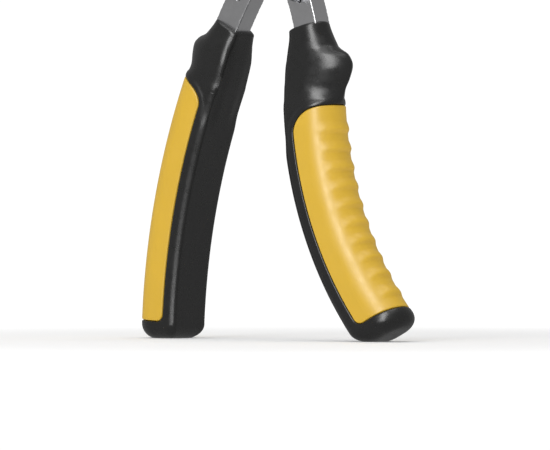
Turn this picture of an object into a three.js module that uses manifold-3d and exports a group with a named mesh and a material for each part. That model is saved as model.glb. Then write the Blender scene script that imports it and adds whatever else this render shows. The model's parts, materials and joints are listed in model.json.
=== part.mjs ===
// Snap setter pliers: two forged steel levers crossing in a lap joint, with moulded grips.
// The palm lever (left handle, right jaw) carries the adjustable setting die; the finger lever
// (right handle, left jaw) carries the anvil die. The pliers stand on their handle ends with the
// jaws up, open. +X runs from the palm grip to the finger grip, +Y from front to back, +Z up.
// Millimetres. Shapes are worked out around the pivot and lifted onto the floor at the end.
import * as THREE from 'three';
import { mergeVertices } from 'three/addons/utils/BufferGeometryUtils.js';
import Module from 'manifold-3d';

const wasm = await Module();
wasm.setup();

// ---------- driving dimensions ----------
const PIVOT_HEIGHT = 166; // pivot axis above the floor
const JAW_ANGLE = 12; // each jaw leans this far from the closed line, in degrees
const GAP = 0.3; // clearance between touching pieces
const PLATE = 9; // lever thickness
const LAP = 1.1; // space between the two halves of the lap joint
const BOSS_R = 16; // lever boss round the pivot
const NECK_HALF = 6; // half width of a lever's neck and tang
const TANG_START = 45; // the tang's lower end, along the handle from its foot
const DIE_HEIGHT = 49; // die axis above the pivot, along a jaw

// A handle's centreline is made of arcs in the pliers' plane, listed from the foot upwards. Angles are
// in degrees. side is the direction of the handle's outer face: -1 towards -X, 1 towards +X.
const PALM = {
  side: -1,
  footTilt: 0,
  arcs: [{ x: 220.3, z: -173, r: 280.1, from: 178.63, to: 141.86 }],
};
const FINGER = {
  side: 1,
  footTilt: 17,
  arcs: [
    { x: 166, z: -63.3, r: 145.2, from: 223.4, to: 180 },
    { x: -85.9, z: -63.3, r: 106.7, from: 0, to: 36.4 },
  ],
};

// Grip section along the handle, from the foot up: inner face, start of the rounded outer side, outer face,
// half thickness, and how pointed the outer side is (1 is elliptical, 2 is straight-flanked).
const GRIP = { inner: -11.5, flat: 0.5, outer: 11.5, half: 11, point: 1 };
const PALM_STATIONS = [
  { s: 0, ...GRIP },
  { s: 110, ...GRIP },
  { s: 114, inner: -11.4, flat: 0.5, outer: 12.1, half: 10.5, point: 1.1 },
  { s: 118, inner: -11, flat: 0.6, outer: 14, half: 10.4, point: 1.15 },
  { s: 121.5, inner: -10.6, flat: 0.7, outer: 15.2, half: 10.3, point: 1.2 },
  { s: 124, inner: -10.2, flat: 0.6, outer: 14.2, half: 10, point: 1.2 },
  { s: 128, inner: -9.3, flat: 0.3, outer: 10.4, half: 9.2, point: 1.1 },
  { s: 136, inner: -8, flat: 0, outer: 8, half: 7.8, point: 1 },
];
const FINGER_STATIONS = [
  { s: 0, ...GRIP },
  { s: 102, ...GRIP },
  { s: 106, inner: -11.5, flat: 0, outer: 13.9, half: 10.5, point: 1.35 },
  { s: 110, inner: -11.4, flat: -0.3, outer: 15.3, half: 10.4, point: 1.45 },
  { s: 113, inner: -11.2, flat: -0.2, outer: 17.2, half: 10.4, point: 1.4 },
  { s: 118, inner: -10.7, flat: 0.3, outer: 18.9, half: 10.3, point: 1.25 },
  { s: 121.5, inner: -10.2, flat: 0.4, outer: 17.2, half: 10, point: 1.2 },
  { s: 126, inner: -9.4, flat: 0.3, outer: 11, half: 9.3, point: 1.1 },
  { s: 136, inner: -8, flat: 0, outer: 8, half: 7.8, point: 1 },
];
const FOOT_ROUND = 6.5; // rounding of a grip's end
const INNER_CORNER = 2.6; // corner radius along the inner face
const SKIN = 2.5; // thickness of the soft insert

// The insert's window along the handle: it starts at bottom, its long edge lies at edge across the handle,
// and above shoulder its outline is a quarter ellipse, rise high and run wide.
const PALM_WINDOW = { bottom: 7.6, edge: -5.4, corner: 3, shoulder: 100.6, rise: 8, run: 14 };
const FINGER_WINDOW = { bottom: 8, edge: -5.2, corner: 3, shoulder: 91.6, rise: 11, run: 17 };

const RIDGES = { count: 10, first: 15.8, pitch: 8.57, height: 1 }; // on the finger insert

// ---------- materials ----------
function paint(color, roughness, metalness) {
  return new THREE.MeshStandardMaterial({ color, roughness, metalness });
}

const MATERIALS = {
  black: paint(0x2d2d2f, 0.42, 0),
  yellow: paint(0xe3bb42, 0.5, 0),
  steel: paint(0xb9bcc0, 0.32, 1),
  bright: paint(0xd0d2d6, 0.18, 1),
  dark: paint(0x3a3a3d, 0.4, 1),
  bronze: paint(0xb08a4a, 0.35, 1),
  rubber: paint(0x1a1a1a, 0.8, 0),
};

// ---------- solids and meshes ----------
// A closed surface as a solid.
function solid(geometry) {
  const bare = geometry.clone();
  bare.deleteAttribute('normal');
  bare.deleteAttribute('uv');
  const merged = mergeVertices(bare, 1e-4);
  return new wasm.Manifold(new wasm.Mesh({
    numProp: 3,
    vertProperties: new Float32Array(merged.attributes.position.array),
    triVerts: new Uint32Array(merged.index.array),
  }));
}

// A solid's surface, ready to be a mesh.
function geometryOf(made) {
  const mesh = made.getMesh();
  const geometry = new THREE.BufferGeometry();
  geometry.setAttribute('position', new THREE.BufferAttribute(new Float32Array(mesh.vertProperties), 3));
  geometry.setIndex(new THREE.BufferAttribute(new Uint32Array(mesh.triVerts), 1));
  geometry.computeVertexNormals();
  return geometry;
}

function addPart(group, name, material, shape) {
  const geometry = shape.isBufferGeometry ? shape : geometryOf(shape);
  const mesh = new THREE.Mesh(geometry, MATERIALS[material]);
  mesh.name = name;
  group.add(mesh);
  return mesh;
}

// ---------- basic shapes ----------
// A flat outline in the pliers' plane (x, z), made into a plate between two Y values.
function plate(shape, low, high, curveSegments = 8) {
  const settings = { depth: high - low, bevelEnabled: false, curveSegments };
  const geometry = new THREE.ExtrudeGeometry(shape, settings);
  geometry.rotateX(Math.PI / 2);
  return geometry.translate(0, high, 0);
}

// A round piece about the Y axis. The profile is a list of [radius, y], from the low end to the high end
// along the outside, and it starts and ends on the axis or closes on itself.
function turned(profile, segments = 24) {
  return new THREE.LatheGeometry(profile.map(([r, y]) => new THREE.Vector2(r, y)), segments);
}

// A ring or tube about the Y axis.
function ring(inner, outer, low, high, segments = 28) {
  return turned([[inner, low], [outer, low], [outer, high], [inner, high], [inner, low]], segments);
}

// A hexagon of the given width across flats, bored out, about the Y axis.
function hexNut(acrossFlats, bore, low, high) {
  const corner = acrossFlats / Math.sqrt(3);
  const hex = new THREE.CylinderGeometry(corner, corner, high - low, 6).translate(0, (low + high) / 2, 0);
  return solid(hex).subtract(solid(cylinder(bore, low - 1, high + 1, 24)));
}

// Turns a piece made about Y to lie along X, its high end towards +X.
const alongX = (geometry) => geometry.rotateZ(-Math.PI / 2);

function cylinder(r, low, high, segments = 28) {
  return turned([[0, low], [r, low], [r, high], [0, high]], segments);
}

// ---------- handle paths ----------
const radians = THREE.MathUtils.degToRad;
const arcLength = (arc) => arc.r * Math.abs(radians(arc.to - arc.from));
const pathLength = (handle) => handle.arcs.reduce((sum, arc) => sum + arcLength(arc), 0);

// The point of the pliers' plane that lies s along a handle from its foot and n across it, outwards.
function along(handle, s, n = 0) {
  let rest = s;
  let arc = handle.arcs[0];
  for (const next of handle.arcs.slice(1)) {
    if (rest <= arcLength(arc)) break;
    rest -= arcLength(arc);
    arc = next;
  }
  const turn = Math.sign(arc.to - arc.from);
  const angle = radians(arc.from) + (turn * rest) / arc.r;
  const outward = handle.side * turn * n;
  const radius = arc.r + outward;
  return new THREE.Vector2(arc.x + radius * Math.cos(angle), arc.z + radius * Math.sin(angle));
}

// A closed outline that follows a handle between two distances, half wide on each side.
function strip(handle, from, to, half, steps = 14) {
  const values = Array.from({ length: steps + 1 }, (_, i) => from + ((to - from) * i) / steps);
  const outer = values.map((s) => along(handle, s, half));
  const inner = values.map((s) => along(handle, s, -half)).reverse();
  return new THREE.Shape([...outer, ...inner]);
}

// ---------- grips ----------
const smooth = (t) => t * t * (3 - 2 * t);

// How fast a station's value changes along the handle: level at a turning point, else between its neighbours.
function slopeAt(stations, i, key) {
  if (i === 0 || i === stations.length - 1) return 0;
  const [low, here, high] = stations.slice(i - 1, i + 2);
  const before = (here[key] - low[key]) / (here.s - low.s);
  const after = (high[key] - here[key]) / (high.s - here.s);
  return before * after > 0 ? (2 * before * after) / (before + after) : 0;
}

function sectionAt(stations, s) {
  const i = Math.max(1, stations.findIndex((station) => station.s >= s));
  const above = stations[i];
  const below = stations[i - 1];
  const step = above.s - below.s;
  const t = THREE.MathUtils.clamp((s - below.s) / step, 0, 1);
  const value = (key) => below[key] + (above[key] - below[key]) * smooth(t)
    + slopeAt(stations, i - 1, key) * step * t * (1 - t) ** 2
    - slopeAt(stations, i, key) * step * t * t * (1 - t);
  return {
    inner: value('inner'),
    flat: value('flat'),
    outer: value('outer'),
    half: value('half'),
    point: value('point'),
  };
}

// Points of one grip section as [n, y], going round from the inner face's front corner by the outer side.
function sectionPoints(section, inset, outerSteps = 12) {
  const half = section.half - inset;
  const corner = Math.min(INNER_CORNER, half - 0.5);
  const points = [];
  for (const degrees of [0, 30, 60, 90]) {
    const a = radians(degrees);
    points.push([section.inner + corner * (1 - Math.cos(a)), -half + corner * (1 - Math.sin(a))]);
  }
  const reach = section.outer - inset - section.flat;
  for (let i = 0; i <= outerSteps; i += 1) {
    const a = (Math.PI * i) / outerSteps;
    const across = Math.sin(a) ** section.point;
    const through = Math.sign(Math.cos(a)) * Math.abs(Math.cos(a)) ** section.point;
    points.push([section.flat + reach * across, -half * through]);
  }
  const front = points.slice(0, 4).reverse();
  return [...points, ...front.map(([n, y]) => [n, -y])];
}

// A closed skin through rings of equally many points.
function loft(rings) {
  const count = rings[0].length;
  const middle = (points) => points.reduce((sum, p) => sum.add(p), new THREE.Vector3()).divideScalar(count);
  const vertices = [...rings.flat(), middle(rings[0]), middle(rings.at(-1))];
  const faces = [];
  for (let i = 0; i + 1 < rings.length; i += 1) {
    for (let j = 0; j < count; j += 1) {
      const a = i * count + j;
      const b = i * count + ((j + 1) % count);
      faces.push(a, b, b + count, a, b + count, a + count);
    }
  }
  const last = (rings.length - 1) * count;
  for (let j = 0; j < count; j += 1) {
    const k = (j + 1) % count;
    faces.push(vertices.length - 2, k, j);
    faces.push(vertices.length - 1, last + j, last + k);
  }
  const geometry = new THREE.BufferGeometry().setFromPoints(vertices);
  geometry.setIndex(faces);
  return geometry;
}

// A ridge's height above the insert, s along the handle; the same rule tapers it towards the sides.
function ridgeHeight(s, n, y) {
  const turn = (s - RIDGES.first) / RIDGES.pitch;
  const nearest = THREE.MathUtils.clamp(Math.round(turn), 0, RIDGES.count - 1);
  const off = Math.abs(turn - nearest) / 0.38;
  const reach = 16 + 26 * THREE.MathUtils.clamp((s - RIDGES.first) / 36, 0, 1);
  const around = THREE.MathUtils.radToDeg(Math.atan2(Math.abs(y), Math.max(n - GRIP.flat, 1e-6)));
  const side = smooth(THREE.MathUtils.clamp((reach + 12 - around) / 24, 0, 1));
  return off < 1 ? RIDGES.height * side * Math.cos((off * Math.PI) / 2) ** 2 : 0;
}

// The grip's outer form, or a core inset below it on the outer side. The ring planes turn towards the foot's
// own slope near the end, and the end is rounded.
function gripBody(handle, stations, distances, { inset = 0, ridged = false } = {}) {
  const rings = distances.map((s) => {
    const round = s < FOOT_ROUND ? FOOT_ROUND - Math.sqrt(FOOT_ROUND ** 2 - (FOOT_ROUND - s) ** 2) : 0;
    const section = sectionAt(stations, s);
    section.inner += round;
    section.outer -= round;
    section.half -= round;
    section.flat = Math.min(section.flat, section.outer - inset - 0.5);
    const lean = Math.tan(radians(handle.footTilt)) * (1 - smooth(Math.min(1, s / 26)));
    return sectionPoints(section, inset).map(([n, y]) => {
      const lift = ridged && n > GRIP.flat ? ridgeHeight(s, n, y) : 0;
      const scale = lift ? 1 + lift / Math.hypot(n - GRIP.flat, y) : 1;
      const across = lift ? GRIP.flat + (n - GRIP.flat) * scale : n;
      const p = along(handle, s - n * lean, across);
      return new THREE.Vector3(p.x, y * (lift ? scale : 1), p.y);
    });
  });
  // the rings of the palm side run the other way round
  return solid(loft(handle.side < 0 ? rings.map((r) => [...r].reverse()) : rings));
}

// The window as a block through the whole grip, grown by a margin.
function windowBlock(handle, w, grow) {
  const edge = w.edge - grow;
  const bottom = w.bottom - grow;
  const corner = w.corner + grow;
  const outside = 30;
  const top = w.shoulder + w.rise + grow;
  const points = [[bottom, outside]];
  for (const degrees of [0, 30, 60, 90]) {
    const a = radians(degrees);
    points.push([bottom + corner * (1 - Math.cos(a)), edge + corner * (1 - Math.sin(a))]);
  }
  const steps = 10;
  for (let i = 1; i < steps; i += 1) {
    points.push([bottom + corner + ((w.shoulder - bottom - corner) * i) / steps, edge]);
  }
  for (const degrees of [0, 15, 30, 45, 60, 75, 90]) {
    const a = radians(degrees);
    points.push([w.shoulder + (w.rise + grow) * Math.sin(a), edge + (w.run + grow) * (1 - Math.cos(a))]);
  }
  points.push([top, outside]);
  for (let i = steps - 1; i > 0; i -= 1) points.push([bottom + ((top - bottom) * i) / steps, outside]);
  const outline = new THREE.Shape(points.map(([s, n]) => along(handle, s, n)));
  return solid(plate(outline, -20, 20));
}

// Evenly spaced values, both ends included.
function range(from, to, count) {
  return Array.from({ length: count + 1 }, (_, i) => from + ((to - from) * i) / count);
}

const FOOT_DISTANCES = [0, 0.5, 1.6, 3.2, 5];

// Everything below the floor is cut off, which leaves the flat feet.
const floorBlock = () => solid(new THREE.BoxGeometry(400, 100, 20).translate(0, 0, -PIVOT_HEIGHT - 10));

function grip(handle, stations, w, ridged) {
  const top = stations.at(-1).s;
  const neck = stations.findIndex((station) => station.s > w.shoulder);
  const plain = range(FOOT_ROUND, stations[neck].s, 12);
  const upper = stations.slice(neck + 1).flatMap((station, i) => {
    const before = stations[i + neck].s;
    return [(before + station.s) / 2, station.s];
  });
  const distances = [...FOOT_DISTANCES, ...plain, ...upper];
  const ridgesFrom = RIDGES.first - RIDGES.pitch / 2;
  const ridgeSteps = range(ridgesFrom, ridgesFrom + RIDGES.count * RIDGES.pitch, RIDGES.count * 4);
  const ridgedDistances = [...FOOT_DISTANCES, FOOT_ROUND, ...ridgeSteps, stations[neck].s, ...upper];
  const body = gripBody(handle, stations, distances);
  const recess = windowBlock(handle, w, GAP)
    .subtract(gripBody(handle, stations, distances, { inset: SKIN + GAP }));
  const pocket = solid(plate(strip(handle, TANG_START - GAP, top + 5, NECK_HALF + GAP),
    -PLATE / 2 - GAP, PLATE / 2 + GAP));
  const shell = body.subtract(recess).subtract(pocket).subtract(floorBlock());
  const insert = gripBody(handle, stations, ridged ? ridgedDistances : distances, { ridged })
    .intersect(windowBlock(handle, w, 0))
    .subtract(gripBody(handle, stations, distances, { inset: SKIN }));
  return { shell, insert };
}

// ---------- levers ----------
// A jaw on the closed line, for the side given; it rises from the boss, opens into the throat and carries
// the die boss near its tip.
function jawOutline(side) {
  const shape = new THREE.Shape();
  const x = (value) => side * value;
  shape.moveTo(x(2.5), 4);
  shape.lineTo(x(2.5), 15);
  shape.bezierCurveTo(x(2.5), 21, x(12), 20, x(12), 30);
  shape.lineTo(x(12), 57);
  shape.quadraticCurveTo(x(12), 61, x(16), 61);
  shape.lineTo(x(19), 61);
  shape.quadraticCurveTo(x(24.5), 61, x(25.5), 55);
  shape.bezierCurveTo(x(27.5), 44, x(26.5), 26, x(15.6), 3.5);
  shape.lineTo(x(8), -4);
  shape.closePath();
  return shape;
}

const DIE_BOSS = { r: 8.5, inner: 11.5, outer: 27 };

function lever(handle, jawSide, boreRadius) {
  const turn = radians(jawSide * JAW_ANGLE);
  const jaw = solid(plate(jawOutline(jawSide), -PLATE / 2, PLATE / 2).rotateY(turn));
  const dieBoss = alongX(cylinder(DIE_BOSS.r, DIE_BOSS.inner, DIE_BOSS.outer, 28));
  const dieBore = alongX(cylinder(boreRadius, 0, 40, 24));
  for (const piece of [dieBoss, dieBore]) {
    if (jawSide < 0) piece.rotateY(Math.PI);
    piece.translate(0, 0, DIE_HEIGHT).rotateY(turn);
  }
  const length = pathLength(handle);
  const neck = solid(plate(strip(handle, TANG_START, length - 4, NECK_HALF, 18), -PLATE / 2, PLATE / 2));
  const boss = solid(cylinder(BOSS_R, -PLATE / 2, PLATE / 2, 40));
  const hook = springHole(handle);
  const layer = handle === PALM ? [-LAP / 2, PLATE] : [-PLATE, LAP / 2];
  return boss.add(neck).add(jaw).add(solid(dieBoss))
    .subtract(solid(cylinder(BOSS_R + 0.5, ...layer, 40)))
    .subtract(solid(cylinder(PIVOT.bore, -PLATE, PLATE, 28)))
    .subtract(solid(cylinder(SPRING.hole, -PLATE, PLATE, 12).translate(hook.x, 0, hook.y)))
    .subtract(solid(dieBore));
}

// ---------- pivot ----------
const PIVOT = { bore: 6.3, bush: 6, shank: 4.5, thread: 3.5, head: 7.4, washer: 8.2, washerThick: 1 };
const FACE = PLATE / 2 + GAP; // where a washer starts
const SEAT = FACE + PIVOT.washerThick + GAP; // where the bolt head and nut start

function pivotBolt() {
  const headEnd = -SEAT - 4.2;
  const body = solid(turned([[0, headEnd], [PIVOT.head - 0.8, headEnd], [PIVOT.head, headEnd + 0.8],
    [PIVOT.head, -SEAT], [PIVOT.shank, -SEAT], [PIVOT.shank, SEAT - GAP], [PIVOT.thread, SEAT - GAP],
    [PIVOT.thread, 10.9], [0, 10.9]]));
  const socket = new THREE.CylinderGeometry(2.9, 2.9, 5.4, 6).translate(0, headEnd, 0);
  return body.subtract(solid(socket));
}

// ---------- return spring ----------
// A torsion spring wound round the bolt head, its legs running down the necks and hooking into them.
const SPRING = { wire: 0.8, coil: 9.6, pitch: 1.7, nearest: -PLATE / 2 - GAP - 0.8, turns: 2, hole: 1.2 };
const springHole = (handle) => along(handle, pathLength(handle) - 31, 0);

// The angle at which a line from a point touches the coil; side picks the left or the right of it.
function touchAngle(point, side) {
  return Math.atan2(point.y, point.x) - side * Math.acos(SPRING.coil / point.length());
}

function returnSpring() {
  const left = springHole(PALM);
  const right = springHole(FINGER);
  const start = touchAngle(left, 1) + 2 * Math.PI;
  const stop = touchAngle(right, -1) - 2 * Math.PI * SPRING.turns;
  const near = SPRING.nearest;
  const far = near - (SPRING.pitch * (start - stop)) / (2 * Math.PI);
  const bend = 2;
  const onCoil = (angle, y) => new THREE.Vector3(
    SPRING.coil * Math.cos(angle), y, SPRING.coil * Math.sin(angle));
  const leg = (hole, y, angle) => {
    const foot = new THREE.Vector3(hole.x, y, hole.y);
    const inward = onCoil(angle, y).sub(foot).normalize();
    return [new THREE.Vector3(hole.x, -1.5, hole.y), new THREE.Vector3(hole.x, y + bend, hole.y), foot,
      foot.clone().addScaledVector(inward, bend)];
  };
  const first = leg(left, near, start);
  const last = leg(right, far, stop).reverse();
  class Helix extends THREE.Curve {
    getPoint(t) {
      return onCoil(start + (stop - start) * t, near + (far - near) * t);
    }
  }
  const path = new THREE.CurvePath();
  path.add(new THREE.LineCurve3(first[0], first[1]));
  path.add(new THREE.QuadraticBezierCurve3(first[1], first[2], first[3]));
  path.add(new THREE.LineCurve3(first[3], onCoil(start, near)));
  path.add(new Helix());
  path.add(new THREE.LineCurve3(onCoil(stop, far), last[0]));
  path.add(new THREE.QuadraticBezierCurve3(last[0], last[1], last[2]));
  path.add(new THREE.LineCurve3(last[2], last[3]));
  const section = new THREE.Shape().absarc(0, 0, SPRING.wire, 0, 2 * Math.PI);
  return new THREE.ExtrudeGeometry(section, { steps: 90, extrudePath: path, curveSegments: 4 });
}

// ---------- dies, on the closed line with the anvil towards -X and the setter towards +X ----------
const SET_SCREW = { r: 1.1, from: -6.8, to: -3.4 }; // radial screws that hold the dies on their spindles

const anvilStud = () => turned([[0, -35], [4, -35], [4, -11.2], [7, -11.2], [7, -9.4], [3, -9.4], [3, -4.8],
  [0, -4.8]]);
const anvilDie = () => turned([[3.3, -9.1], [7.5, -9.1], [7.5, -5.4], [6.6, -5.4], [6.6, -3.2], [7.5, -3.2],
  [7.5, -1.9], [5.8, -1.9], [4, -2.8], [0, -3.1], [0, -4.5], [3.3, -4.5], [3.3, -9.1]]);
const settingDie = () => turned([[0, 0.4], [1.2, 0.4], [2, 1.2], [2, 3], [5.2, 3], [7, 4.6], [7, 9], [3.3, 9],
  [3.3, 4.3], [0, 4.3]]);
const adjusterScrew = () => turned([[0, 4.6], [3, 4.6], [3, 9.3], [5, 9.3], [5, 35], [3.6, 35], [3.6, 47],
  [0, 47]]);

// The fluted outline of the adjuster knob with its bore.
function knobOutline(flutes, r, depth, bore) {
  const shape = new THREE.Shape();
  const steps = flutes * 4;
  for (let i = 0; i < steps; i += 1) {
    const a = (2 * Math.PI * i) / steps;
    const radius = r - depth * (0.5 - 0.5 * Math.cos(flutes * a));
    shape[i ? 'lineTo' : 'moveTo'](radius * Math.cos(a), radius * Math.sin(a));
  }
  shape.closePath();
  shape.holes.push(new THREE.Path().absarc(0, 0, bore, 0, 2 * Math.PI, true));
  return shape;
}

// A pin or hole across a die's axis, along Y, at a place x on the axis.
const across = (x, r, low, high) => cylinder(r, low, high, 16).translate(x, 0, 0);

function addAnvilSide(group) {
  const die = solid(alongX(anvilDie())).subtract(solid(across(-7.2, SET_SCREW.r + GAP, -9, -3)));
  addPart(group, 'anvil_stud', 'dark', alongX(anvilStud()));
  addPart(group, 'anvil_stud_nut', 'bright', hexNut(13, 4.3, -32.3, -27.3).rotate([0, 0, -90]));
  addPart(group, 'anvil_die', 'bright', die);
  addPart(group, 'anvil_set_screw', 'dark', across(-7.2, SET_SCREW.r, SET_SCREW.from, SET_SCREW.to));
  addPart(group, 'anvil_ring', 'rubber', alongX(ring(6.9, 8.1, -5.1, -3.5)));
}

function addSetterSide(group) {
  const pinHole = solid(across(42, 1.4, -12, 12));
  const die = solid(alongX(settingDie())).subtract(solid(across(6.9, SET_SCREW.r + GAP, -9, -3)));
  const knob = solid(plate(knobOutline(16, 9.5, 0.9, 3.9), 35.3, 47.6).rotateZ(-Math.PI / 2));
  addPart(group, 'setting_die', 'bright', die);
  addPart(group, 'setting_die_set_screw', 'dark', across(6.9, SET_SCREW.r, SET_SCREW.from, SET_SCREW.to));
  addPart(group, 'adjuster_screw', 'dark', solid(alongX(adjusterScrew())).subtract(pinHole));
  addPart(group, 'adjuster_lock_nut', 'bright', hexNut(17, 5.3, 27.3, 32.3).rotate([0, 0, -90]));
  addPart(group, 'adjuster_knob', 'black', knob.subtract(pinHole));
  addPart(group, 'adjuster_knob_pin', 'bright', across(42, 1.1, -8.2, 8.2));
}

// ---------- assembly ----------
const pliers = new THREE.Group();
const pivot = new THREE.Group();
pliers.add(pivot);

const palmGrip = grip(PALM, PALM_STATIONS, PALM_WINDOW, false);
addPart(pivot, 'palm_grip', 'black', palmGrip.shell);
addPart(pivot, 'palm_grip_insert', 'yellow', palmGrip.insert);
const fingerGrip = grip(FINGER, FINGER_STATIONS, FINGER_WINDOW, true);
addPart(pivot, 'finger_grip', 'black', fingerGrip.shell);
addPart(pivot, 'finger_grip_insert', 'yellow', fingerGrip.insert);
addPart(pivot, 'palm_lever', 'steel', lever(PALM, 1, 5.3));
addPart(pivot, 'finger_lever', 'steel', lever(FINGER, -1, 4.3));
addPart(pivot, 'pivot_bolt', 'bright', pivotBolt());
addPart(pivot, 'pivot_bush', 'bronze', ring(PIVOT.shank + GAP, PIVOT.bush, -PLATE / 2, PLATE / 2));
addPart(pivot, 'pivot_washer_front', 'bronze', ring(PIVOT.shank + GAP, PIVOT.washer, -SEAT + GAP, -FACE));
addPart(pivot, 'pivot_washer_back', 'bronze', ring(PIVOT.shank + GAP, PIVOT.washer, FACE, SEAT - GAP));
addPart(pivot, 'lap_washer', 'bronze', ring(PIVOT.bush + GAP, 15, -LAP / 2 + GAP, LAP / 2 - GAP, 40));
addPart(pivot, 'pivot_nut', 'bright', hexNut(13, PIVOT.thread + GAP, SEAT, SEAT + 4.5));
addPart(pivot, 'return_spring', 'bright', returnSpring());

const setterSide = new THREE.Group();
setterSide.rotation.y = radians(JAW_ANGLE);
const setterAxis = new THREE.Group();
setterAxis.position.z = DIE_HEIGHT;
setterSide.add(setterAxis);
const anvilSide = new THREE.Group();
anvilSide.rotation.y = radians(-JAW_ANGLE);
const anvilAxis = new THREE.Group();
anvilAxis.position.z = DIE_HEIGHT;
anvilSide.add(anvilAxis);
pivot.add(setterSide, anvilSide);
addSetterSide(setterAxis);
addAnvilSide(anvilAxis);

// Centred over the origin, standing on the floor.
const box = new THREE.Box3().setFromObject(pliers, true);
pivot.position.set(-(box.min.x + box.max.x) / 2, 0, PIVOT_HEIGHT);
export default pliers;
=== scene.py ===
"""Snap setter pliers: the looks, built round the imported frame.

Lengths are in millimetres until a mesh is made.
"""
import json
import math

import bmesh
import bpy
import numpy as np
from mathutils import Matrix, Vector


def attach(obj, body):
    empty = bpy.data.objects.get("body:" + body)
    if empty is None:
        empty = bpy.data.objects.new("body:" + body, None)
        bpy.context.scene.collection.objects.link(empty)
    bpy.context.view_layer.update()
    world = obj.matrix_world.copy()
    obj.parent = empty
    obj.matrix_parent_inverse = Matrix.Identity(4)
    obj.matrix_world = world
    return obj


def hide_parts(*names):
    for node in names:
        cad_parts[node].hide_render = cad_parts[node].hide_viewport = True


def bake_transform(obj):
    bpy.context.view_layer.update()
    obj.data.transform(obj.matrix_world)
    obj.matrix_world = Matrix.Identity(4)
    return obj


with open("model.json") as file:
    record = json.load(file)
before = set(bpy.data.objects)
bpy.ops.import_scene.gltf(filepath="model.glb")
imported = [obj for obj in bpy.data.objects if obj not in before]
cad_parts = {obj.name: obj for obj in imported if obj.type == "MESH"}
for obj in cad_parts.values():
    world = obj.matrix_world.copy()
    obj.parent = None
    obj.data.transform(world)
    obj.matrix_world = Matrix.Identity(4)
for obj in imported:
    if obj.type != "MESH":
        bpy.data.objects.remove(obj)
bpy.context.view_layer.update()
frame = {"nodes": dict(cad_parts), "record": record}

JOINTS = {j["name"]: j for j in frame["record"]["behaviour"]["joints"]}
PIVOT = Vector(JOINTS["main_pivot"]["pos_m"])
DIE = Vector(JOINTS["adjuster_turn"]["pos_m"])
OUTWARD = Vector(JOINTS["adjuster_turn"]["axis"])
ANVIL = Vector((2 * PIVOT.x - DIE.x, 0, DIE.z))
ANVIL_AXIS = Vector((OUTWARD.x, 0, -OUTWARD.z))  # towards the setter
FRONT_TO_BACK = Vector((0, 1, 0))
MM = 0.001


# ---------- materials ----------
def material(name, colour, spread, roughness, rough_spread=0.06, metallic=0.0, grain=2500, bump=0.00003,
             strength=0.3, patch=60, stretch=(1, 1, 1), **inputs):
    """A shader with a colour that drifts a little, an uneven gloss and a fine surface grain."""
    made = bpy.data.materials.new(name)
    made.use_nodes = True
    nodes, links = made.node_tree.nodes, made.node_tree.links
    shader = nodes["Principled BSDF"]
    shader.inputs["Metallic"].default_value = metallic
    for key, value in inputs.items():
        shader.inputs[key.replace("_", " ")].default_value = value
    place = nodes.new("ShaderNodeTexCoord")
    scale = nodes.new("ShaderNodeMapping")
    scale.inputs["Scale"].default_value = stretch
    links.new(place.outputs["Object"], scale.inputs["Vector"])

    def noise(size, detail):
        made_noise = nodes.new("ShaderNodeTexNoise")
        made_noise.inputs["Scale"].default_value = size
        made_noise.inputs["Detail"].default_value = detail
        links.new(scale.outputs["Vector"], made_noise.inputs["Vector"])
        return made_noise

    broad = noise(patch, 4)
    fine = noise(grain, 2)
    ramp = nodes.new("ShaderNodeValToRGB")
    ramp.color_ramp.elements[0].position = 0.3
    ramp.color_ramp.elements[1].position = 0.7
    ramp.color_ramp.elements[0].color = (*[c * (1 - spread) for c in colour], 1)
    ramp.color_ramp.elements[1].color = (*[min(1, c * (1 + spread)) for c in colour], 1)
    links.new(broad.outputs["Fac"], ramp.inputs["Fac"])
    links.new(ramp.outputs["Color"], shader.inputs["Base Color"])
    gloss = nodes.new("ShaderNodeMapRange")
    gloss.inputs["From Min"].default_value = 0.3
    gloss.inputs["From Max"].default_value = 0.7
    gloss.inputs["To Min"].default_value = roughness - rough_spread
    gloss.inputs["To Max"].default_value = roughness + rough_spread
    links.new(noise(patch * 5, 5).outputs["Fac"], gloss.inputs["Value"])
    links.new(gloss.outputs["Result"], shader.inputs["Roughness"])
    relief = nodes.new("ShaderNodeBump")
    relief.inputs["Strength"].default_value = strength
    relief.inputs["Distance"].default_value = bump
    links.new(fine.outputs["Fac"], relief.inputs["Height"])
    links.new(relief.outputs["Normal"], shader.inputs["Normal"])
    return made


BLACK = material("grip_black", (0.014, 0.014, 0.0138), 0.08, 0.29, grain=1500, bump=0.00006,
                 strength=0.25)
YELLOW = material("grip_yellow", (0.76, 0.47, 0.033), 0.02, 0.38, grain=2200, bump=0.00004, strength=0.25,
                  Specular_IOR_Level=0.55)
STEEL = material("forged_steel", (0.60, 0.60, 0.61), 0.03, 0.32, 0.025, metallic=1, grain=700, bump=0.00002,
                 patch=120)
BRIGHT = material("bright_steel", (0.74, 0.75, 0.77), 0.04, 0.17, 0.05, metallic=1, grain=1800, bump=0.00002,
                  strength=0.15)
DARK = material("black_oxide", (0.05, 0.05, 0.055), 0.2, 0.36, metallic=0.9, grain=1600, patch=200)
WIRE = material("spring_wire", (0.52, 0.53, 0.55), 0.06, 0.24, metallic=1, grain=2600, bump=0.00002)
BRONZE = material("bearing_bronze", (0.60, 0.42, 0.2), 0.1, 0.34, metallic=1, grain=1800, patch=150)
KNOB = material("knob_black", (0.03, 0.03, 0.031), 0.1, 0.42, grain=1300, bump=0.00007)
RUBBER = material("ring_rubber", (0.018, 0.018, 0.018), 0.15, 0.62, grain=1200, bump=0.00008)


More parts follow.
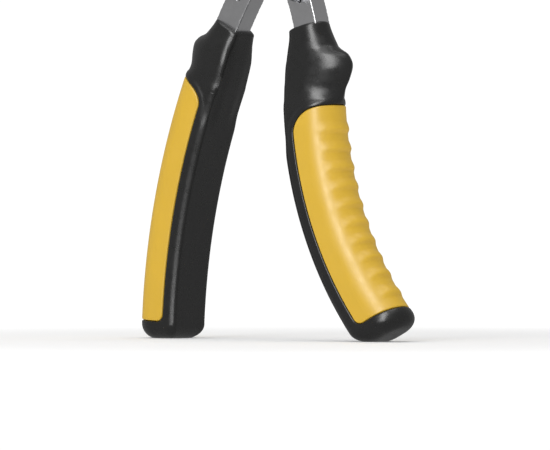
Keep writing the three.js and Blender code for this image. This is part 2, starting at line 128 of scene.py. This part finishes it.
# ---------- making pieces ----------
def piece(name, vertices, faces, shader, body, replaced, sharp=None):
    """A mesh from points in metres, which rides on a body and stands for CAD nodes."""
    mesh = bpy.data.meshes.new(name)
    mesh.from_pydata([tuple(v) for v in vertices], [], faces)
    tidy = bmesh.new()
    tidy.from_mesh(mesh)
    bmesh.ops.remove_doubles(tidy, verts=tidy.verts, dist=1e-6)
    bmesh.ops.dissolve_degenerate(tidy, edges=tidy.edges, dist=1e-7)
    bmesh.ops.recalc_face_normals(tidy, faces=tidy.faces)
    tidy.to_mesh(mesh)
    tidy.free()
    return placed(name, mesh, shader, body, replaced, sharp)


def placed(name, mesh, shader, body, replaced, sharp=None):
    """An object for the mesh, smooth but for edges sharper than the angle, in degrees."""
    mesh.materials.clear()
    mesh.materials.append(shader)
    mesh.polygons.foreach_set("use_smooth", [True] * len(mesh.polygons))
    if sharp is not None:
        mesh.set_sharp_from_angle(angle=math.radians(sharp))
    made = bpy.data.objects.new(name, mesh)
    bpy.context.scene.collection.objects.link(made)
    if body:
        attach(made, body)
    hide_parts(*replaced)
    return made


def rounded(profile, radius, pieces=3):
    """The profile with each corner rounded in a few pieces."""
    out = [profile[0]]
    for before, here, after in zip(profile, profile[1:], profile[2:]):
        b, h, a = (np.array(p[:2], float) for p in (before, here, after))
        la, lb = np.linalg.norm(b - h), np.linalg.norm(a - h)
        if min(la, lb) < 1e-6:
            out.append(here)
            continue
        r = min(radius, 0.45 * la, 0.45 * lb)
        p, q = h + (b - h) / la * r, h + (a - h) / lb * r
        for t in np.linspace(0, 1, pieces + 1):
            point = (1 - t) ** 2 * p + 2 * t * (1 - t) * h + t * t * q
            out.append((*point, *here[2:]))
    out.append(profile[-1])
    return out


def turned(name, profile, origin, axis, shader, body, shape=None, segments=96, round_by=0.25, sharp=35):
    """A round piece, from a profile of (place along the axis, radius) that runs from one end to the other.

    shape(row, angle) may change the radius, and reads a mark that a profile point has as its third item.
    """
    axis = Vector(axis).normalized()
    side = FRONT_TO_BACK.copy() if abs(axis.y) < 0.5 else Vector((1, 0, 0))
    other = axis.cross(side)
    rows = rounded(profile, round_by) if round_by else profile
    vertices, faces = [], []
    for row in rows:
        for k in range(segments):
            a = 2 * math.pi * k / segments
            r = shape(row, a) if shape else row[1]
            outward = side * math.cos(a) + other * math.sin(a)
            vertices.append(origin + (axis * row[0] + outward * r) * MM)
    for i in range(len(rows) - 1):
        for k in range(segments):
            n = (k + 1) % segments
            row, above = i * segments, (i + 1) * segments
            faces.append((row + k, row + n, above + n, above + k))
    return piece(name, vertices, faces, shader, body, [name.replace("_look", "")], sharp)


def hexagon(flats):
    """A shape that cuts the rows marked 'hex' to a hexagon of that width across its flats."""
    def shape(row, a):
        if len(row) > 2 and row[2] == "hex":
            turn = (a + math.pi / 6) % (math.pi / 3) - math.pi / 6
            return min(row[1], flats / 2 / math.cos(turn))
        return row[1]
    return shape


def thread(pitch, depth, start, end):
    """A shape that cuts a screw thread into the rows marked 'thread', between two places on the axis."""
    def shape(row, a):
        if len(row) > 2 and row[2] == "thread":
            fade = min(1, (row[0] - start) / pitch, (end - row[0]) / pitch)
            wave = 0.5 - 0.5 * math.cos(a - 2 * math.pi * row[0] / pitch)
            return row[1] - depth * max(0, fade) * wave
        return row[1]
    return shape


def thread_rows(radius, pitch, start, end):
    """Profile points close enough together for a thread, eight to a turn."""
    count = int((end - start) / pitch * 8)
    return [(start + (end - start) * i / count, radius, "thread") for i in range(count + 1)]


# ---------- handles ----------
# Each arc of a centreline: its centre (x, z) from the pivot, its radius, its first and last angle in degrees.
PALM = {"side": -1, "tilt": 0, "arcs": [(220.3, -173.0, 280.1, 178.63, 141.86)]}
FINGER = {"side": 1, "tilt": 17, "arcs": [(166.0, -63.3, 145.2, 223.4, 180.0),
                                          (-85.9, -63.3, 106.7, 0.0, 36.4)]}
# A section: inner face, start of the round side, outer face, half thickness, point of the round side.
GRIP = (-11.5, 0.5, 11.5, 11.0, 1.0)
# Each station is a distance from the foot and the section there.
PALM_STATIONS = [(0, *GRIP), (110, *GRIP),
                 (114, -11.4, 0.5, 12.1, 10.5, 1.1), (118, -11, 0.6, 14, 10.4, 1.15),
                 (121.5, -10.6, 0.7, 15.2, 10.3, 1.2), (124, -10.2, 0.6, 14.2, 10, 1.2),
                 (128, -9.3, 0.3, 10.4, 9.2, 1.1), (136, -8, 0, 8, 7.8, 1)]
FINGER_STATIONS = [(0, *GRIP), (102, *GRIP), (106, -11.5, 0, 13.9, 10.5, 1.35),
                   (110, -11.4, -0.3, 15.3, 10.4, 1.45), (113, -11.2, -0.2, 17.2, 10.4, 1.4),
                   (118, -10.7, 0.3, 18.9, 10.3, 1.25), (121.5, -10.2, 0.4, 17.2, 10, 1.2),
                   (126, -9.4, 0.3, 11, 9.3, 1.1), (136, -8, 0, 8, 7.8, 1)]
# The insert's window: its lower end, its long edge, corner radius, and the quarter ellipse at its upper end.
PALM_WINDOW = {"bottom": 7.6, "edge": -5.4, "corner": 3.0, "shoulder": 100.6, "rise": 8.0, "run": 14.0}
FINGER_WINDOW = {"bottom": 8.0, "edge": -5.2, "corner": 3.0, "shoulder": 91.6, "rise": 11.0, "run": 17.0}
LEDGE = {"depth": 0.6, "start": 1.5, "width": 1.8}  # the step down from the collar round the insert's head
FOOT_PROUD = 0.2  # how far the finger grip's foot stands out beside the insert
FOOT_ROUND = 6.5
COLLAR_ROUND = 1.2
BEVEL = (1.5, 2.6)  # the softened edge of the inner face, down its side and across the front
RIDGES = {"count": 10, "first": 14.9, "pitch": 8.57, "height": 1.2, "length": 76}
RIDGE_SIDES = (0.46, 0.22)  # a crest's gentle and steep side, as shares of the pitch
RIDGE_REACH = (42, 20)  # degrees round the insert at the first ridge, and how many more at the last
CREASE = 1.2  # above 1, the hollows between the ridges are wider than the crests
GAP = 0.1  # from the window's line to the body's rim, and to the insert's
LIPS = {"body": 0.7, "insert": 0.6}  # radius of the rolled rims
WALL = 1.6  # how deep the rims turn in


def smooth(t):
    t = np.clip(t, 0, 1)
    return t * t * (3 - 2 * t)


def along(handle, s, n):
    """Points (x, z) from the pivot, s along the handle from its foot and n outwards."""
    s, n = np.broadcast_arrays(np.asarray(s, float), np.asarray(n, float))
    x, z = np.empty_like(s), np.empty_like(s)
    done = 0.0
    for i, (cx, cz, r, start, end) in enumerate(handle["arcs"]):
        length = r * abs(math.radians(end - start))
        here = (s > done) if i else (s <= length) | (len(handle["arcs"]) == 1)
        turn = math.copysign(1, end - start)
        angle = math.radians(start) + turn * (s - done) / r
        radius = r + handle["side"] * turn * n
        x = np.where(here, cx + radius * np.cos(angle), x)
        z = np.where(here, cz + radius * np.sin(angle), z)
        done += length
    return x, z


def slope(stations, i):
    """How fast a station's section changes along the handle: level at turning points and at the ends."""
    if i in (0, len(stations) - 1):
        return [0.0] * 5
    low, here, high = stations[i - 1:i + 2]
    before = [(h - w) / (here[0] - low[0]) for w, h in zip(low[1:], here[1:])]
    after = [(h - w) / (high[0] - here[0]) for w, h in zip(here[1:], high[1:])]
    return [2 * b * a / (b + a) if b * a > 0 else 0.0 for b, a in zip(before, after)]


def section(stations, s):
    """The section at a distance from the foot, smooth from station to station."""
    i = next((k for k in range(1, len(stations)) if stations[k][0] >= s), len(stations) - 1)
    low, high = stations[i - 1], stations[i]
    step = high[0] - low[0]
    t = min(1.0, max(0.0, (s - low[0]) / step))
    values = zip(low[1:], high[1:], slope(stations, i - 1), slope(stations, i))
    return [a + (b - a) * smooth(t) + step * t * (1 - t) * (p * (1 - t) - q * t) for a, b, p, q in values]


def half_profile(inner, flat, outer, half, point):
    """Half of a section as (n, y), from the middle of the inner face by the front to the outer face."""
    rise, run = BEVEL
    points = [(inner, -y) for y in np.linspace(0, half - rise, 10)[:-1]]
    bevel = [(inner, -half + 2 * rise), (inner, -half + rise), (inner + run, -half), (inner + 2 * run, -half)]
    points += rounded(bevel, 0.9, 6)[1:-1]
    points += [(n, -half) for n in np.linspace(inner + run + 1, flat, 12)[:-1]]
    for a in np.radians(np.linspace(0, 90, 33)):
        points.append((flat + (outer - flat) * math.sin(a) ** point, -half * max(0.0, math.cos(a)) ** point))
    points = np.array(points)
    lengths = np.concatenate([[0], np.cumsum(np.hypot(*np.diff(points, axis=0).T))])
    return points, lengths


def window_edge(w, s, grow):
    """How far across the handle the window starts, at a distance from the foot."""
    bottom, corner, edge = w["bottom"] - grow, w["corner"] + grow, w["edge"] - grow
    rise, run = w["rise"] + grow, w["run"] + grow
    if s < bottom + corner:
        c = max(0.0, (bottom + corner - s) / corner)
        return edge + corner * (1 - math.sqrt(max(0.0, 1 - min(1, c) ** 2)))
    if s > w["shoulder"]:
        c = min(1.0, (s - w["shoulder"]) / rise)
        return edge + run * (1 - math.sqrt(1 - c * c))
    return edge


def ridge_height(s, around):
    """The finger ridges: a rounded crest, steep and creased on the side towards the foot."""
    turn = (s - RIDGES["first"]) / RIDGES["pitch"]
    if turn < -0.25 or turn > RIDGES["count"] - 0.5:
        return 0 * around
    phase = turn % 1.0
    gentle, steep = RIDGE_SIDES
    wave = math.cos(math.pi / 2 * min(1.0, min(phase / gentle, (1 - phase) / steep)))
    share = min(1.0, max(0.0, (s - RIDGES["first"]) / RIDGES["length"]))
    reach = RIDGE_REACH[0] + RIDGE_REACH[1] * share
    return RIDGES["height"] * wave ** CREASE * smooth((reach - around) / (0.8 * reach))


def steps(start, end, gap):
    """Even steps from start to end, about a gap apart."""
    return list(np.linspace(start, end, max(2, int(round((end - start) / gap)) + 1)))


NEAR = [0, 0.12, 0.28, 0.5, 0.8, 1.25, 2.0]  # rows and columns close to the window's rim


def grip_surface(handle, stations, w, part, grow, lip, ridged=False):
    """Rings of points for the grip's outer skin, or for the insert in its window, both with a rolled rim."""
    bottom, top = w["bottom"] - grow, w["shoulder"] + w["rise"] + grow
    end = stations[-1][0]
    inside = [bottom + d for d in NEAR] + steps(bottom + 2.4, w["shoulder"], 0.42 if ridged else 1.6)
    quarter = np.linspace(0, math.pi / 2, 26)[1:]
    inside += [w["shoulder"] + (top - w["shoulder"]) * math.sin(t) for t in quarter]
    foot = [FOOT_ROUND * (1 - math.cos(a)) for a in np.linspace(0.02, math.pi / 2, 12)]
    foot = [s for s in foot if s < bottom - 2.1] + [bottom - d for d in NEAR[:0:-1]]
    head = [top + d for d in NEAR[1:]] + steps(top + 3, end - COLLAR_ROUND, 0.9)
    head += [end - COLLAR_ROUND * (1 - math.sin(a)) for a in np.linspace(0, math.pi / 2, 6)[1:]]
    rows = inside if part == "insert" else foot + inside + head
    inner_count, outer_count = 26, 44

    rim, grid, totals = [], [], []
    for s in rows:
        inner, flat, outer, half, point = section(stations, s)
        inset = FOOT_ROUND - math.sqrt(FOOT_ROUND ** 2 - (FOOT_ROUND - s) ** 2) if s < FOOT_ROUND else 0.0
        if s > end - COLLAR_ROUND:
            inset = COLLAR_ROUND - math.sqrt(max(0.0, COLLAR_ROUND ** 2 - (s - end + COLLAR_ROUND) ** 2))
        inner, outer, half = inner + inset, outer - inset, half - inset
        flat = min(flat, outer - 0.5)
        points, lengths = half_profile(inner, flat, outer, half, point)
        total = lengths[-1]
        edge = window_edge(w, min(max(s, bottom), top), grow)
        front = points[:, 1] <= -half + 1e-6
        start = int(np.argmax(front))
        q_edge = float(np.interp(edge, points[start:, 0], lengths[start:]))
        q_edge = min(max(q_edge, 4.0), total - 2.5)
        before = list(np.linspace(0, q_edge - NEAR[-1], inner_count - len(NEAR) + 1))
        before += [q_edge - d for d in NEAR[-2:0:-1]]
        after = [q_edge + d for d in NEAR if d < total - q_edge - 0.3]
        after += list(np.linspace(after[-1], total, outer_count - len(after) + 1)[1:])
        q = np.array(after if part == "insert" else before + after)
        grid.append((s, q, points, lengths, flat))
        totals.append(total)
        if bottom - 1e-6 <= s <= top + 1e-6:
            rim.append((s, q_edge))
    rim = [(bottom, totals[0] if part == "insert" else rim[0][1] + 30)] + rim + [(top, rim[-1][1] + 30)]
    a, b = np.array(rim[:-1]), np.array(rim[1:])

    def distance(s, q):
        """How far points of a ring are from the window's line."""
        p = np.stack([np.full_like(q, s), q], -1)[:, None, :]
        d = b - a
        t = np.clip(((p - a) * d).sum(-1) / np.maximum((d * d).sum(-1), 1e-12), 0, 1)
        return np.sqrt(((p - a - t[..., None] * d) ** 2).sum(-1)).min(1)

    rings = []
    for s, q, points, lengths, flat in grid:
        n = np.interp(q, lengths, points[:, 0])
        y = np.interp(q, lengths, points[:, 1])
        e = 0.05
        tn = np.interp(q + e, lengths, points[:, 0]) - np.interp(q - e, lengths, points[:, 0])
        ty = np.interp(q + e, lengths, points[:, 1]) - np.interp(q - e, lengths, points[:, 1])
        size = np.maximum(np.hypot(tn, ty), 1e-9)
        out_n, out_y = ty / size, -tn / size  # the section's outward normal
        out_n[q >= lengths[-1] - 1e-6], out_y[q >= lengths[-1] - 1e-6] = 1, 0
        out_n[q <= 1e-6], out_y[q <= 1e-6] = -1, 0
        drop = np.clip(lip - distance(s, q), 0, lip)
        drop = lip - np.sqrt(lip ** 2 - drop ** 2)
        if part == "body":
            beyond = smooth((distance(s, q) - LEDGE["start"]) / LEDGE["width"])
            beyond = beyond * smooth((s - w["shoulder"] + 9) / 9)
            drop = drop + LEDGE["depth"] * beyond * smooth((q - 3) / 5)
            if handle is FINGER and s < bottom:
                drop = drop - FOOT_PROUD * smooth((n - flat) / 2) * smooth(s / 4)
        if ridged:
            around = np.degrees(np.arctan2(np.abs(y), np.maximum(n - flat, 1e-6)))
            fade = np.clip((distance(s, q) - 0.4) / 1.6, 0, 1)
            drop = drop - ridge_height(s, around) * fade * (n > flat)
        lean = math.tan(math.radians(handle["tilt"])) * (1 - smooth(s / 26))
        n2, y2 = n - out_n * drop, y - out_y * drop
        x, z = along(handle, s - n2 * lean, n2)
        ring = np.stack([x, y2, z], -1)
        normal_x, normal_z = along(handle, s - n2 * lean, n2 + out_n)
        inward = -np.stack([normal_x - x, out_y, normal_z - z], -1)
        rings.append((ring, inward))
    return rows, rings, inner_count, bottom, top


def grip_piece(name, handle, stations, w, part, shader, body, slot, ridged=False):
    """The grip's body or its insert: the surface, its mirrored half, and a wall inwards from every rim."""
    grow = GAP if part == "body" else -GAP
    rows, rings, inner_count, bottom, top = grip_surface(handle, stations, w, part, grow, LIPS[part], ridged)
    vertices, inward, index = [], [], {}
    count = len(rings[0][0])

    def vertex(point, direction):
        vertices.append(point)
        inward.append(direction)
        return len(vertices) - 1

    for i, (ring, direction) in enumerate(rings):
        for k in range(count):
            index[i, k, 0] = vertex(ring[k], direction[k])
            if abs(ring[k][1]) < 1e-6:
                index[i, k, 1] = index[i, k, 0]
            else:
                index[i, k, 1] = vertex(ring[k] * (1, -1, 1), direction[k] * (1, -1, 1))
    faces = []
    for i in range(len(rings) - 1):
        hole = part == "body" and bottom - 1e-6 <= rows[i] and rows[i + 1] <= top + 1e-6
        for k in range(count - 1):
            if hole and k >= inner_count - 1:
                continue
            for m in (0, 1):
                faces.append((index[i, k, m], index[i, k + 1, m], index[i + 1, k + 1, m], index[i + 1, k, m]))
    if part == "body":
        for i in (0, len(rings) - 1):
            front = [index[i, k, 0] for k in range(count)]
            back = [index[i, k, 1] for k in range(count - 2, 0, -1)]
            faces.append(tuple(front + back))
    world = [PIVOT + Vector(v) * MM for v in vertices]
    mesh = bpy.data.meshes.new(name)
    mesh.from_pydata(world, [], faces)
    work = bmesh.new()
    work.from_mesh(mesh)
    work.verts.ensure_lookup_table()
    sink = {v: Vector(inward[v.index]) for v in work.verts}
    rim = [e for e in work.edges if len(e.link_faces) == 1]
    wall = {}
    for e in rim:
        for v in e.verts:
            if v not in wall:
                wall[v] = work.verts.new(v.co + sink[v].normalized() * WALL * MM)
    for e in rim:
        p, q = e.verts
        work.faces.new((p, q, wall[q], wall[p]))
    bmesh.ops.recalc_face_normals(work, faces=work.faces)
    for v in work.verts:
        v.co.z = max(v.co.z, 0.0)
    work.to_mesh(mesh)
    work.free()
    outside = max(mesh.polygons, key=lambda p: (p.center - PIVOT).length)
    if outside.normal.dot(outside.center - PIVOT) < 0:
        mesh.flip_normals()
    return placed(name, mesh, shader, body, [name.replace("_look", "")], 50)


for side, *shape in (("palm", PALM, PALM_STATIONS, PALM_WINDOW),
                     ("finger", FINGER, FINGER_STATIONS, FINGER_WINDOW)):
    grip_piece(side + "_grip_look", *shape, "body", BLACK, side + "_half", "grip_plastic")
    grip_piece(side + "_grip_insert_look", *shape, "insert", YELLOW, side + "_half", "grip_soft",
               ridged=side == "finger")


# ---------- forged levers ----------
VOXEL = 0.00045  # metres


def forged(node, body):
    """The lever with the rounded edges and fillets of a forging."""
    source = frame["nodes"][node]
    work = bpy.data.objects.new("work", source.data.copy())
    bpy.context.scene.collection.objects.link(work)
    weld = work.modifiers.new("weld", "WELD")
    weld.merge_threshold = 1e-6
    voxels = work.modifiers.new("voxels", "REMESH")
    voxels.mode = "VOXEL"
    voxels.voxel_size = VOXEL
    soften = work.modifiers.new("soften", "SMOOTH")
    soften.factor = 0.5
    soften.iterations = 7
    mesh = bpy.data.meshes.new_from_object(work.evaluated_get(bpy.context.evaluated_depsgraph_get()))
    bpy.data.objects.remove(work)
    return placed(node + "_look", mesh, STEEL, body, [node])


forged("finger_lever", "finger_half")
forged("palm_lever", "palm_half")

# ---------- pivot ----------
def socket_and_thread(row, a):
    """The bolt's key socket in front and its thread behind."""
    return thread(1.0, 0.45, 6.2, 10.9)(row, a) if row[0] > 0 else hexagon(5)(row, a)


turned("pivot_bolt_look", [(-7.3, 0), (-7.3, 2.9, "hex"), (-10.0, 2.9, "hex"), (-10.3, 3.3), (-10.3, 6.5),
                           (-9.5, 7.4), (-6.1, 7.4), (-6.1, 4.5), (6.0, 4.5), (6.1, 3.5),
                           *thread_rows(3.5, 1.0, 6.2, 10.3), (10.9, 2.9), (10.9, 0)],
       PIVOT, FRONT_TO_BACK, BRIGHT, "finger_half", shape=socket_and_thread, round_by=0.12)
turned("pivot_nut_look", [(6.4, 3.7), (6.1, 4.2), (6.1, 6.5), (6.8, 7.6, "hex"), (9.9, 7.6, "hex"),
                          (10.6, 6.5), (10.6, 4.2), (10.3, 3.7), (6.4, 3.7)],
       PIVOT, FRONT_TO_BACK, BRIGHT, "finger_half", shape=hexagon(13), round_by=0)
for name, low in (("pivot_washer_front", -5.8), ("pivot_washer_back", 4.8)):
    turned(name + "_look", [(low + 0.5, 4.8), (low, 4.8), (low, 8.2), (low + 1, 8.2), (low + 1, 4.8),
                            (low + 0.5, 4.8)],
           PIVOT, FRONT_TO_BACK, BRONZE, "finger_half", round_by=0.2)
turned("pivot_bush_look", [(0, 4.8), (-4.5, 4.8), (-4.5, 6), (4.5, 6), (4.5, 4.8), (0, 4.8)],
       PIVOT, FRONT_TO_BACK, BRONZE, "finger_half", round_by=0.2)
turned("lap_washer_look", [(0, 6.3), (-0.25, 6.3), (-0.25, 15), (0.25, 15), (0.25, 6.3), (0, 6.3)],
       PIVOT, FRONT_TO_BACK, BRONZE, "finger_half", round_by=0.1)


# ---------- return spring ----------
def return_spring():
    """A torsion spring round the bolt's head, whose two legs run down into holes in the necks."""
    wire, coil, pitch, near, turns, bend = 0.8, 9.6, 1.7, -5.6, 2, 2.0
    hole_from_end = 31
    ends = []
    for handle in (PALM, FINGER):
        length = sum(r * abs(math.radians(b - a)) for _, _, r, a, b in handle["arcs"])
        x, z = along(handle, length - hole_from_end, 0)
        ends.append((float(x), float(z)))
    touch = [math.atan2(z, x) - side * math.acos(coil / math.hypot(x, z))
             for (x, z), side in zip(ends, (1, -1))]  # where each leg leaves the coil
    start, stop = touch[0] + 2 * math.pi, touch[1] - 2 * math.pi * turns
    far = near - pitch * (start - stop) / (2 * math.pi)

    def on_coil(angle, y):
        return Vector((coil * math.cos(angle), y, coil * math.sin(angle)))

    def leg(hole, y, angle):
        foot = Vector((hole[0], y, hole[1]))
        inward = (on_coil(angle, y) - foot).normalized()
        points = [Vector((hole[0], -1.5, hole[1])), Vector((hole[0], y + bend, hole[1]))]
        for t in [i / 8 for i in range(1, 9)]:
            points.append((1 - t) ** 2 * points[1] + 2 * t * (1 - t) * foot + t * t * (foot + inward * bend))
        return points

    path = leg(ends[0], near, start)
    for t in [i / 240 for i in range(241)]:
        path.append(on_coil(start + (stop - start) * t, near + (far - near) * t))
    path += leg(ends[1], far, stop)[::-1]
    curve = bpy.data.curves.new("return_spring_path", "CURVE")
    curve.dimensions = "3D"
    curve.bevel_depth = wire * MM
    curve.bevel_resolution = 4
    curve.use_fill_caps = True
    spline = curve.splines.new("POLY")
    spline.points.add(len(path) - 1)
    for point, v in zip(spline.points, path):
        point.co = (*(PIVOT + v * MM), 1)
    work = bpy.data.objects.new("work", curve)
    bpy.context.scene.collection.objects.link(work)
    mesh = bpy.data.meshes.new_from_object(work.evaluated_get(bpy.context.evaluated_depsgraph_get()))
    bpy.data.objects.remove(work)
    made = placed("return_spring_look", mesh, WIRE, None, ["return_spring"])
    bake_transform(made)


return_spring()

# ---------- dies ----------
turned("anvil_stud_look", [(-35, 0), (-35, 3.3), (-34.3, 4), *thread_rows(4, 1.25, -34.2, -12), (-11.2, 4),
                           (-11.2, 7), (-9.4, 7), (-9.4, 3), (-4.8, 3), (-4.8, 0)],
       ANVIL, ANVIL_AXIS, DARK, "finger_half", shape=thread(1.25, 0.6, -34.3, -11.5),
       round_by=0.2)
turned("anvil_stud_nut_look", [(-32, 4.3), (-32.3, 4.8), (-32.3, 6.5), (-31.6, 7.6, "hex"), (-28, 7.6, "hex"),
                               (-27.3, 6.5), (-27.3, 4.8), (-27.6, 4.3), (-32, 4.3)],
       ANVIL, ANVIL_AXIS, BRIGHT, "finger_half", shape=hexagon(13), round_by=0)
turned("anvil_die_look", [(-9.1, 3.3), (-9.1, 7.5), (-5.4, 7.5), (-5.4, 6.6), (-3.2, 6.6), (-3.2, 7.5),
                          (-1.9, 7.5), (-1.9, 5.8), (-2.8, 4), (-3.1, 1.5), (-3.1, 0)],
       ANVIL, ANVIL_AXIS, BRIGHT, "finger_half", round_by=0.35)
turned("anvil_ring_look", [(-4.3, 6.9), (-5.1, 6.9), (-5.1, 8.1), (-3.5, 8.1), (-3.5, 6.9), (-4.3, 6.9)],
       ANVIL, ANVIL_AXIS, RUBBER, "finger_half", round_by=0.7, sharp=60)
turned("setting_die_look", [(0.4, 0), (0.4, 1.2), (1.2, 2), (3, 2), (3, 5.2), (4.6, 7), (9, 7), (9, 3.3)],
       DIE, OUTWARD, BRIGHT, "die_holder", round_by=0.35)
turned("adjuster_screw_look", [(4.6, 0), (4.6, 3), (9.3, 3), (9.3, 4.4), (9.9, 5),
                               *thread_rows(5, 1.5, 10, 34.6),
                               (35, 4.4), (35, 3.6), (46.4, 3.6), (47, 3), (47, 0)],
       DIE, OUTWARD, DARK, "adjuster", shape=thread(1.5, 0.75, 9.9, 34.9), round_by=0.2)
turned("adjuster_lock_nut_look", [(27.6, 5.3), (27.3, 5.8), (27.3, 8.4), (28.1, 9.8, "hex"),
                                  (31.5, 9.8, "hex"), (32.3, 8.4), (32.3, 5.8), (32, 5.3), (27.6, 5.3)],
       DIE, OUTWARD, BRIGHT, "lock_nut", shape=hexagon(17), round_by=0)


FLUTES = {"count": 16, "depth": 0.9}


def fluted(row, a):
    """The knob's flutes, cut into the rows marked 'flute'."""
    if len(row) > 2 and row[2] == "flute":
        return row[1] - FLUTES["depth"] * (0.5 - 0.5 * math.cos(FLUTES["count"] * a)) ** 1.5
    return row[1]


turned("adjuster_knob_look", [(36, 3.9), (35.3, 3.9), (35.3, 7.2), (36.2, 8.6), (36.6, 8.7),
                              (37.2, 9.5, "flute"), (45.6, 9.5, "flute"), (46.6, 8.9, "flute"), (47.2, 7.8),
                              (47.6, 6.4), (47.2, 5.4), (47.2, 4.2), (46.8, 3.9), (36, 3.9)],
       DIE, OUTWARD, KNOB, "adjuster", shape=fluted, segments=192, round_by=0.3, sharp=60)


def cross_pin(name, place, origin, axis, low, high, shader, body):
    """A pin from front to back through an axis, at a place along it."""
    radius = 1.1
    turned(name + "_look", [(low, 0), (low, radius), (high, radius), (high, 0)],
           origin + Vector(axis) * place * MM, FRONT_TO_BACK, shader, body, segments=48)


cross_pin("adjuster_knob_pin", 42, DIE, OUTWARD, -8.2, 8.2, BRIGHT, "adjuster")
cross_pin("anvil_set_screw", -7.2, ANVIL, ANVIL_AXIS, -6.8, -3.4, DARK, "finger_half")
cross_pin("setting_die_set_screw", 6.9, DIE, OUTWARD, -6.8, -3.4, DARK, "die_holder")

# ---------- floor, light and camera ----------
WHITE = (1, 1, 1, 1)
FLOOR_SIZE = 1.4
# The floor's painted glow, weakest near the middle as painted shade round the feet: from and to a distance
# from the middle in metres, from and to a strength.
GLOW = {"From Min": 0.12, "From Max": 0.5, "To Min": 0.12, "To Max": 0.5}
WORLD = {"plain": 0.5, "gloss": 0.3, "camera": 1.05}  # how strong the surroundings are for each kind of ray


def floor_material():
    """A pale floor with a painted glow that grows with distance from the object: the weak glow near it is
    painted shade round the feet, and the far floor runs out into white.
    """
    made = bpy.data.materials.new("floor_painted_glow")
    made.use_nodes = True
    nodes, links = made.node_tree.nodes, made.node_tree.links
    shader = nodes["Principled BSDF"]
    shader.inputs["Base Color"].default_value = (0.95, 0.95, 0.95, 1)
    shader.inputs["Roughness"].default_value = 0.7
    shader.inputs["Emission Color"].default_value = WHITE
    place = nodes.new("ShaderNodeTexCoord")
    away = nodes.new("ShaderNodeVectorMath")
    away.operation = "LENGTH"
    glow = nodes.new("ShaderNodeMapRange")
    glow.interpolation_type = "SMOOTHSTEP"
    for key, value in GLOW.items():
        glow.inputs[key].default_value = value
    links.new(place.outputs["Object"], away.inputs[0])
    links.new(away.outputs["Value"], glow.inputs["Value"])
    links.new(glow.outputs["Result"], shader.inputs["Emission Strength"])
    return made


def studio_world():
    """White surroundings, with a strength of their own in reflections and for the camera."""
    made = bpy.data.worlds.new("studio")
    made.use_nodes = True
    nodes, links = made.node_tree.nodes, made.node_tree.links
    whites = {"plain": nodes["Background"]}
    for kind in ("gloss", "camera"):
        whites[kind] = nodes.new("ShaderNodeBackground")
    for kind, white in whites.items():
        white.inputs["Color"].default_value = WHITE
        white.inputs["Strength"].default_value = WORLD[kind]
    ray = nodes.new("ShaderNodeLightPath")
    shader = whites["plain"].outputs["Background"]
    for output, kind in (("Is Glossy Ray", "gloss"), ("Is Camera Ray", "camera")):
        choice = nodes.new("ShaderNodeMixShader")
        links.new(ray.outputs[output], choice.inputs["Fac"])
        links.new(shader, choice.inputs[1])
        links.new(whites[kind].outputs["Background"], choice.inputs[2])
        shader = choice.outputs["Shader"]
    links.new(shader, nodes["World Output"].inputs["Surface"])
    return made


bpy.ops.mesh.primitive_plane_add(size=FLOOR_SIZE, location=(0, 0, 0))
floor = bpy.context.object
floor.name = "floor"
floor.data.materials.append(floor_material())
floor.visible_glossy = False
bpy.context.scene.world = studio_world()
bpy.context.scene.view_settings.view_transform = "Standard"


def softbox(name, azimuth, elevation, distance, width, height, power, lights=True, shines=True):
    """An area light aimed at the grips. It can be kept out of the plain light, or out of the gloss."""
    a, e = math.radians(azimuth), math.radians(elevation)
    target = Vector((0, 0, 0.08))
    place = target + Vector((math.sin(a) * math.cos(e), -math.cos(a) * math.cos(e), math.sin(e))) * distance
    light = bpy.data.lights.new(name, "AREA")
    light.shape = "RECTANGLE"
    light.size, light.size_y = width, height
    light.energy = power
    made = bpy.data.objects.new(name, light)
    made.visible_diffuse = lights
    made.visible_glossy = shines
    made.location = place
    made.rotation_euler = (target - place).to_track_quat("-Z", "Y").to_euler()
    bpy.context.scene.collection.objects.link(made)


softbox("key", 5, 24, 1.3, 0.5, 1.4, 4.4, shines=False)
softbox("strip", 19, 26, 1.3, 0.46, 1.7, 22.0, lights=False)
softbox("top", 20, 84, 1.3, 1.2, 1.0, 7)

AZIMUTH, ELEVATION, LENS = math.radians(40), 0.0, 350.0
PICTURE_MM = 0.41  # millimetres on the object for each pixel of a picture 550 wide
distance = LENS / 36 * 550 * PICTURE_MM * MM
aim = Vector((PIVOT.x - 0.001885, 0, 0.04707))  # the middle of the picture, in metres
forward = Vector((-math.sin(AZIMUTH), math.cos(AZIMUTH), 0))
lens = bpy.data.cameras.new("camera")
lens.lens = LENS
lens.sensor_width = 36
lens.sensor_fit = "HORIZONTAL"
lens.clip_end = 50
camera = bpy.data.objects.new("camera", lens)
camera.location = aim - forward * distance
camera.rotation_euler = forward.to_track_quat("-Z", "Y").to_euler()
bpy.context.scene.collection.objects.link(camera)
bpy.context.scene.camera = camera
